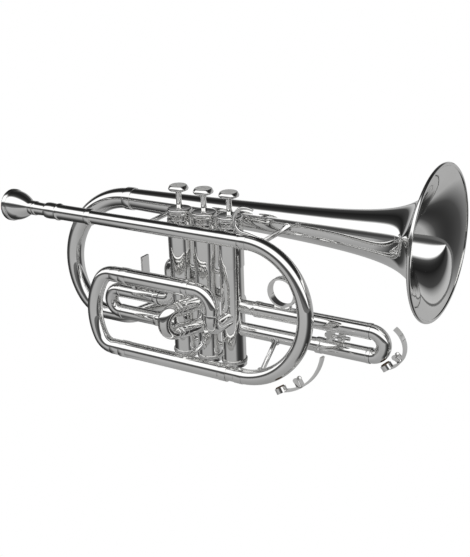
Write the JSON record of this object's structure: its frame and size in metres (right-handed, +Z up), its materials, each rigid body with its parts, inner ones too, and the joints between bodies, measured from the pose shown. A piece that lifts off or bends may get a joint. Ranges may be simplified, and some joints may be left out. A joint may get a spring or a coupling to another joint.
{
  "type": "cornet",
  "caption": "Silver-plated valved cornet with a shepherd's-crook bell bow, tuning and valve slides, finger ring, finger hook and water keys",
  "frame": {"origin": "middle of the second valve's bottom cap, on its lower face", "axes": "+X towards the bell's mouth, +Y to the player's left, +Z up the valve axes"},
  "size_m": [0.3575, 0.1373, 0.1726],
  "materials": {
    "silver_plate": "polished silver plate",
    "guide_nylon": "moulded",
    "spring_steel": "drawn wire",
    "felt": "pressed felt",
    "button_inlay": "satin pearl",
    "cork": "natural cork"
  },
  "bodies": {
    "horn": {"receiver": "silver_plate", "mouthpipe": "silver_plate", "front_bow": "silver_plate", "lower_run": "silver_plate", "main_outer_upper": "silver_plate", "gooseneck": "silver_plate", "casing_1": "silver_plate", "casing_2": "silver_plate", "casing_3": "silver_plate", "top_cap_1": "silver_plate", "top_cap_2": "silver_plate", "top_cap_3": "silver_plate", "bottom_cap_1": "silver_plate", "bottom_cap_2": "silver_plate", "bottom_cap_3": "silver_plate", "guide_1": "guide_nylon", "guide_2": "guide_nylon", "guide_3": "guide_nylon", "crossover_12": "silver_plate", "crossover_23": "silver_plate", "first_legs": "silver_plate", "second_outer": "silver_plate", "third_legs": "silver_plate", "bell": "silver_plate", "bell_bow": "silver_plate", "bell_tail": "silver_plate", "pinky_hook": "silver_plate", "brace_front": "silver_plate", "brace_rear": "silver_plate", "brace_low": "silver_plate", "brace_valve": "silver_plate", "casing_ties": "silver_plate"},
    "mouthpiece": {"mouthpiece": "silver_plate"},
    "valve_1": {"piston_1": "silver_plate", "stem_1": "silver_plate", "button_face_1": "button_inlay", "felt_1": "felt", "spring_1": "spring_steel"},
    "valve_2": {"piston_2": "silver_plate", "stem_2": "silver_plate", "button_face_2": "button_inlay", "felt_2": "felt", "spring_2": "spring_steel"},
    "valve_3": {"piston_3": "silver_plate", "stem_3": "silver_plate", "button_face_3": "button_inlay", "felt_3": "felt", "spring_3": "spring_steel"},
    "main_slide": {"main_slide": "silver_plate"},
    "first_slide": {"first_slide": "silver_plate", "thumb_saddle": "silver_plate"},
    "second_slide": {"second_slide": "silver_plate"},
    "third_slide": {"third_slide": "silver_plate", "third_stop": "silver_plate", "finger_ring": "silver_plate"},
    "main_key": {"main_key": "silver_plate", "main_key_cork": "cork"},
    "third_key": {"third_key": "silver_plate", "third_key_cork": "cork"}
  },
  "joints": [
    {"name": "mouthpiece_pull", "type": "slide", "parent": "horn", "child": "mouthpiece", "axis": [-1, 0, 0], "range_m": [0, 0.022]},
    {"name": "valve_1_press", "type": "slide", "parent": "horn", "child": "valve_1", "axis": [0, 0, -1], "range_m": [0, 0.012], "stiffness_N_per_m": 150, "springref_m": -0.02, "deforming": ["spring_1"]},
    {"name": "valve_2_press", "type": "slide", "parent": "horn", "child": "valve_2", "axis": [0, 0, -1], "range_m": [0, 0.012], "stiffness_N_per_m": 150, "springref_m": -0.02, "deforming": ["spring_2"]},
    {"name": "valve_3_press", "type": "slide", "parent": "horn", "child": "valve_3", "axis": [0, 0, -1], "range_m": [0, 0.012], "stiffness_N_per_m": 150, "springref_m": -0.02, "deforming": ["spring_3"]},
    {"name": "main_slide_pull", "type": "slide", "parent": "horn", "child": "main_slide", "axis": [-1, 0, 0], "range_m": [0, 0.04]},
    {"name": "first_slide_pull", "type": "slide", "parent": "horn", "child": "first_slide", "axis": [-1, 0, 0], "range_m": [0, 0.022]},
    {"name": "second_slide_pull", "type": "slide", "parent": "horn", "child": "second_slide", "axis": [-0.3746, -0.9272, 0], "range_m": [0, 0.011]},
    {"name": "third_slide_pull", "type": "slide", "parent": "horn", "child": "third_slide", "axis": [1, 0, 0], "range_m": [0, 0.025]},
    {"name": "main_key_open", "type": "hinge", "parent": "horn", "child": "main_key", "pos_m": [0.0983, -0.03464, 0.01819], "axis": [0, -0.994, 0.1097], "range_deg": [0, 12], "stiffness_Nm_per_rad": 0.06, "springref_deg": -34.38},
    {"name": "third_key_open", "type": "hinge", "parent": "third_slide", "child": "third_key", "pos_m": [0.1608, 0, 0.03595], "axis": [0, -1, 0], "range_deg": [0, 12], "stiffness_Nm_per_rad": 0.06, "springref_deg": -34.38}
  ]
}
